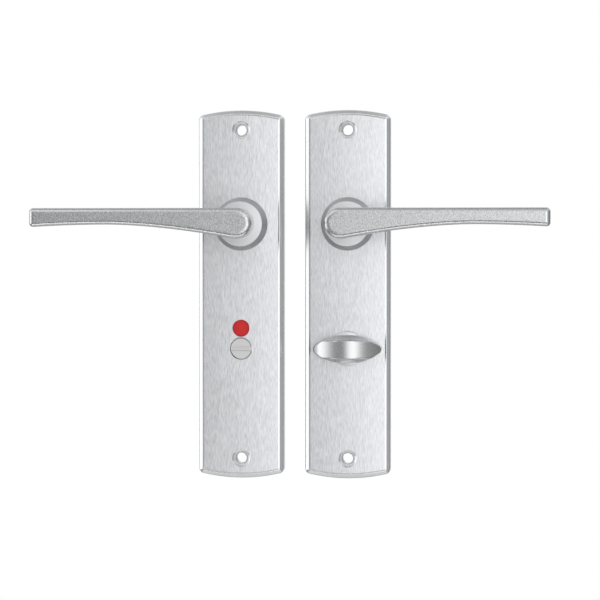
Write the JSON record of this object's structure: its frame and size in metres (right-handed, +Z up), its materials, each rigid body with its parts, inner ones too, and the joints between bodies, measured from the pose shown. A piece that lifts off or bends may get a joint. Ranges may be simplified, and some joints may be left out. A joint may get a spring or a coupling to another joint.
{
  "type": "privacy door lever set",
  "caption": "Satin aluminium lever handles on long backplates for a privacy lock: one side has a coin release with a red indicator window, the other an oval thumb turn.",
  "frame": {"origin": "on the door face, at the middle of the rectangle of the four plate screw holes", "axes": "+X across the two plates from the outside half to the inside half, +Y into the door, +Z up"},
  "size_m": [0.256, 0.1195, 0.186],
  "materials": {
    "anodised_aluminium": "brushed and anodised",
    "anodised_lever": "fine-blasted and anodised",
    "zinc_plated_steel": "zinc-plated",
    "spring_steel": "oiled spring steel",
    "black_steel": "black oxide",
    "nylon": "moulded",
    "red_plastic": "moulded"
  },
  "bodies": {
    "plates": {"outside_plate": "anodised_aluminium", "inside_plate": "anodised_aluminium", "outside_lever_bush": "nylon", "inside_lever_bush": "nylon", "outside_spring_cage": "zinc_plated_steel", "inside_spring_cage": "zinc_plated_steel", "cage_screws": "zinc_plated_steel", "outside_return_spring": "spring_steel", "inside_return_spring": "spring_steel", "coin_turn_retainer": "zinc_plated_steel", "retainer_screws": "zinc_plated_steel", "coin_detent_spring": "spring_steel", "thumb_turn_bush": "nylon"},
    "outside_lever": {"outside_lever": "anodised_lever", "outside_grub_screw": "black_steel", "lever_spindle": "zinc_plated_steel", "outside_driver_disc": "zinc_plated_steel", "outside_circlip": "spring_steel"},
    "inside_lever": {"inside_lever": "anodised_lever", "inside_grub_screw": "black_steel", "inside_driver_disc": "zinc_plated_steel", "inside_circlip": "spring_steel"},
    "coin_turn": {"coin_turn": "anodised_lever", "indicator_disc": "nylon", "indicator_red_sector": "red_plastic"},
    "thumb_turn": {"thumb_turn": "anodised_lever", "privacy_spindle": "zinc_plated_steel", "thumb_turn_wave_washer": "spring_steel", "thumb_turn_circlip": "spring_steel"}
  },
  "joints": [
    {"name": "outside_lever_turn", "type": "hinge", "parent": "plates", "child": "outside_lever", "pos_m": [-0.027, 0, 0.0355], "axis": [0, -1, 0], "range_deg": [0, 40], "stiffness_Nm_per_rad": 0.6, "springref_deg": -45.84, "deforming": ["outside_return_spring"]},
    {"name": "inside_lever_turn", "type": "hinge", "parent": "plates", "child": "inside_lever", "pos_m": [0.027, 0, 0.0355], "axis": [0, 1, 0], "range_deg": [0, 40], "stiffness_Nm_per_rad": 0.6, "springref_deg": -45.84, "deforming": ["inside_return_spring"]},
    {"name": "coin_turn_rotate", "type": "hinge", "parent": "plates", "child": "coin_turn", "pos_m": [-0.027, 0, -0.0275], "axis": [0, 1, 0], "range_deg": [0, 90], "deforming": ["coin_detent_spring"]},
    {"name": "thumb_turn_rotate", "type": "hinge", "parent": "plates", "child": "thumb_turn", "pos_m": [0.027, 0, -0.0275], "axis": [0, -1, 0], "range_deg": [0, 90]}
  ]
}
